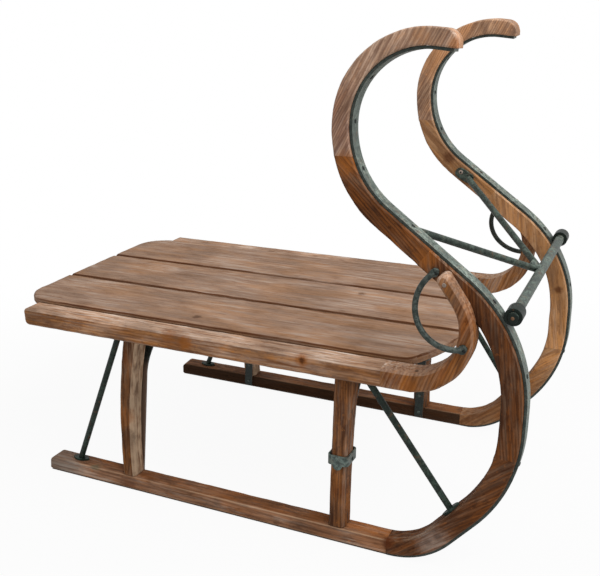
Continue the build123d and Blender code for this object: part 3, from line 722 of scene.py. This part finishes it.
limed_iron = patina_iron("limed iron", (0.16, 0.12, 0.095, 1), (0.46, 0.40, 0.34, 1), 1.0)
rail_wear = Wear(round_off=1.6 * MM, dents=1.0 * MM, cuts=[(FORWARD, 9 * MM), (UP, 12 * MM)])
for side, way in SIDES.items():
    rail = f"seat_rail_{side}"
    grain = [Grain(RAIL_SCARF, FORWARD, UP, (14.0 + way, 0.028, 0.035)),
             Grain(ALL_ALONG, in_side(CURL_GRAIN), in_side(CURL_GRAIN + 90), (17.0 + way, 0.06, 0.03))]
    worn_timber(rail, rail_wood, grain, rail_wear)
    lap_spot = (rail, (LAP_NAIL_AHEAD, OUTSIDE * way, LAP_NAIL_UP), LEFT * -way)
    nail_heads(f"lap_nail_{side}", [lap_spot], LAP_NAIL, limed_iron)

# Seat boards: three planed softwood boards side by side on the benches, their ends cut to one
# round-cornered outline. Lime has dulled their faces. Along the gaps their rounded edges show the red of the
# stain, darkened with painted shade.
board_tones = Tones(heart=(0.29, 0.168, 0.103, 1), late=(0.140, 0.068, 0.039, 1),
                    warm=(0.33, 0.162, 0.073, 1), lime=(0.46, 0.375, 0.315, 1))
board_wood = washed_wood(
    "board wood", board_tones, lime_share=0.6, contrast=0.6, veil=0.2, arris=1.0,
    arris_tint=(0.10, 0.036, 0.014, 1), arris_across=UP, uneven=0.18,
    marks=[Mark((-84, -150, 264), 7, (0.10, 0.05, 0.03, 1), 0.85),
           Mark((89, 29, 264), 7, (0.13, 0.065, 0.035, 1), 0.85)])
# Place of each board in its log.
board_logs = {"right": (17.0, 0.02, 0.045), "middle": (19.2, -0.03, 0.05), "left": (21.4, 0.035, 0.06)}
board_wear = Wear(round_off=2.0 * MM, dents=1.0 * MM, cuts=[(FORWARD, 9 * MM), (LEFT, 14 * MM)])
for name, log in board_logs.items():
    grain = [Grain(ALL_ALONG, FORWARD, LEFT, log)]
    worn_timber(f"seat_board_{name}", board_wood, grain, board_wear)

# Tow bar: a round iron bar with rusty bolted ends, in an eye fixed to each runner. Two braces run
# from leaves nailed on the necks to a stub at its middle.
BAR_EDGE = 1.0 * MM
EYE_EDGE = 1.2 * MM
BRACE_EDGE = 0.8 * MM
BAR_END = Head(radius=6.6 * MM, height=1.2 * MM)
BAR_BOLT = Head(radius=3.0 * MM, height=1.6 * MM)
LEAF_NAIL = Head(radius=3.4 * MM, height=0.8 * MM)
LEAF_SLOT = Head(radius=1.9 * MM, height=1.1 * MM)
leaf_place = (0.197, 0, 0.4295)
bar_iron = patina_iron("bar iron", (0.014, 0.022, 0.018, 1), (0.185, 0.235, 0.20, 1), 0.85)
eye_iron = patina_iron("eye iron", (0.004, 0.008, 0.006, 1), (0.014, 0.026, 0.019, 1), 0.5, shine=0.2)
brace_iron = patina_iron("brace iron", (0.010, 0.017, 0.013, 1), (0.110, 0.15, 0.122, 1), 0.9)
rust = patina_iron("rust", (0.11, 0.05, 0.022, 1), (0.34, 0.215, 0.12, 1), 0.8)
forged("tow_bar", bar_iron, BAR_EDGE)
forged("brace_stub", bar_iron, BRACE_EDGE)
bar_low, bar_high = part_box("tow_bar")
bar_middle = (bar_low + bar_high) / 2
for side, way in SIDES.items():
    forged(f"bar_eye_{side}", eye_iron, EYE_EDGE)
    forged(f"tow_brace_{side}", brace_iron, BRACE_EDGE)
    end_spot = [("tow_bar", (bar_middle.x, OUTSIDE * way, bar_middle.z), LEFT * -way)]
    nail_heads(f"bar_end_{side}", end_spot, BAR_END, eye_iron)
    nail_heads(f"bar_bolt_{side}", end_spot, BAR_BOLT, rust)
    leaf_spot = [(f"tow_brace_{side}", leaf_place, LEFT * way)]
    nail_heads(f"leaf_nail_{side}", leaf_spot, LEAF_NAIL, limed_iron)
    nail_heads(f"leaf_slot_{side}", leaf_spot, LEAF_SLOT, nail_iron)

# Side handles: a bent iron rod with hammered eyes, to lift or steady the sled by. A nail in each
# eye holds it between the neck of the runner and the curl of the rail.
HANDLE_EDGE = 0.8 * MM
HANDLE_NAIL = Head(radius=2.0 * MM, height=0.7 * MM)
# Ahead and up, for the lower eye and the upper one.
handle_eyes = ((0.2997, 0.3016), (0.2585, 0.3817))
handle_iron = patina_iron("handle iron", (0.008, 0.016, 0.012, 1), (0.120, 0.145, 0.130, 1), 0.85)
for side, way in SIDES.items():
    handle = f"side_handle_{side}"
    forged(handle, handle_iron, HANDLE_EDGE)
    spots = [(handle, (ahead, OUTSIDE * way, up), LEFT * -way) for ahead, up in handle_eyes]
    nail_heads(f"handle_nails_{side}", spots, HANDLE_NAIL, nail_iron)

# Studio: a white paper floor that keeps a soft shadow near the sled, one large lamp in front and
# above, and an even white room. The paper turns pure white away from the sled.
FLOOR_HALF = 6.0
SHADOW_FROM = 0.5           # the shadow fades out between these distances from the middle
SHADOW_TO = 1.1
SHADOW_WHITE = 0.94         # share of pure white under the sled
ROOM_LIGHT = 0.55
WHITE = (1, 1, 1, 1)


def looked_at(tree):
    """One where a camera, a mirror or glass looks, and zero for light that falls on things."""
    path = tree.nodes.new("ShaderNodeLightPath")
    looked = maths(tree, "MAXIMUM", path.outputs["Is Camera Ray"], path.outputs["Is Glossy Ray"])
    return maths(tree, "MAXIMUM", looked, path.outputs["Is Transmission Ray"])


paper = bpy.data.materials.new("white paper")
paper.use_nodes = True
tree = paper.node_tree
tree.nodes.clear()
sheet = tree.nodes.new("ShaderNodeBsdfDiffuse")
sheet.inputs["Color"].default_value = (0.6, 0.6, 0.6, 1)
glow = tree.nodes.new("ShaderNodeEmission")
glow.inputs["Color"].default_value = WHITE
from_middle = tree.nodes.new("ShaderNodeVectorMath")
from_middle.operation = "LENGTH"
link(tree, from_middle.inputs[0], tree.nodes.new("ShaderNodeTexCoord").outputs["Object"])
white_share = ramp(tree, from_middle.outputs["Value"], SHADOW_FROM, SHADOW_TO, SHADOW_WHITE, 1.0)
both = tree.nodes.new("ShaderNodeMixShader")
link(tree, both.inputs[0], maths(tree, "MULTIPLY", looked_at(tree), white_share))
link(tree, both.inputs[1], sheet.outputs[0])
link(tree, both.inputs[2], glow.outputs[0])
end = tree.nodes.new("ShaderNodeOutputMaterial")
link(tree, end.inputs["Surface"], both.outputs[0])
shape = bmesh.new()
bmesh.ops.create_grid(shape, x_segments=1, y_segments=1, size=FLOOR_HALF)
mesh = bpy.data.meshes.new("floor")
shape.to_mesh(mesh)
shape.free()
floor = bpy.data.objects.new("floor", mesh)
bpy.context.scene.collection.objects.link(floor)
mesh.materials.append(paper)

room = bpy.data.worlds.new("white room")
room.use_nodes = True
bpy.context.scene.world = room
tree = room.node_tree
wall = tree.nodes["Background"]
wall.inputs["Color"].default_value = WHITE
link(tree, wall.inputs["Strength"], ramp(tree, looked_at(tree), 0.0, 1.0, ROOM_LIGHT, 1.0))

lamp = bpy.data.lights.new("overhead lamp", "AREA")
lamp.shape = "RECTANGLE"
lamp.size = 2.0
lamp.size_y = 1.6
lamp.energy = 42.0
lit_place = Vector((0, 0, 0.25))
overhead = bpy.data.objects.new("overhead lamp", lamp)
overhead.location = (1.3, -0.5, 2.0)
overhead.rotation_euler = (lit_place - overhead.location).to_track_quat("-Z", "Y").to_euler()
bpy.context.scene.collection.objects.link(overhead)

# Camera: where the photograph was taken from, to the front of the sled's right side and just above
# its horns, looking down a little. Its focal length is in pixels of the 600 by 576 image.
EYE = Vector((0.4950, -1.0975, 0.6762))
BACK = Vector((0.38748, -0.8647, 0.31972)).normalized()
ROLL = radians(-0.383)
FOCAL_PIXELS = 859.2
IMAGE_WIDTH = 600
level = UP.cross(BACK).normalized()
upright = BACK.cross(level)
across_image = level * cos(ROLL) + upright * sin(ROLL)
up_image = upright * cos(ROLL) - level * sin(ROLL)
view = bpy.data.cameras.new("camera")
view.sensor_fit = "HORIZONTAL"
view.sensor_width = 36.0
view.lens = view.sensor_width * FOCAL_PIXELS / IMAGE_WIDTH
view.clip_start = 0.05
camera = bpy.data.objects.new("camera", view)
turn = Matrix((across_image, up_image, BACK)).transposed()
camera.matrix_world = Matrix.Translation(EYE) @ turn.to_4x4()
bpy.context.scene.collection.objects.link(camera)
bpy.context.scene.camera = camera
bpy.context.scene.view_settings.view_transform = "Standard"
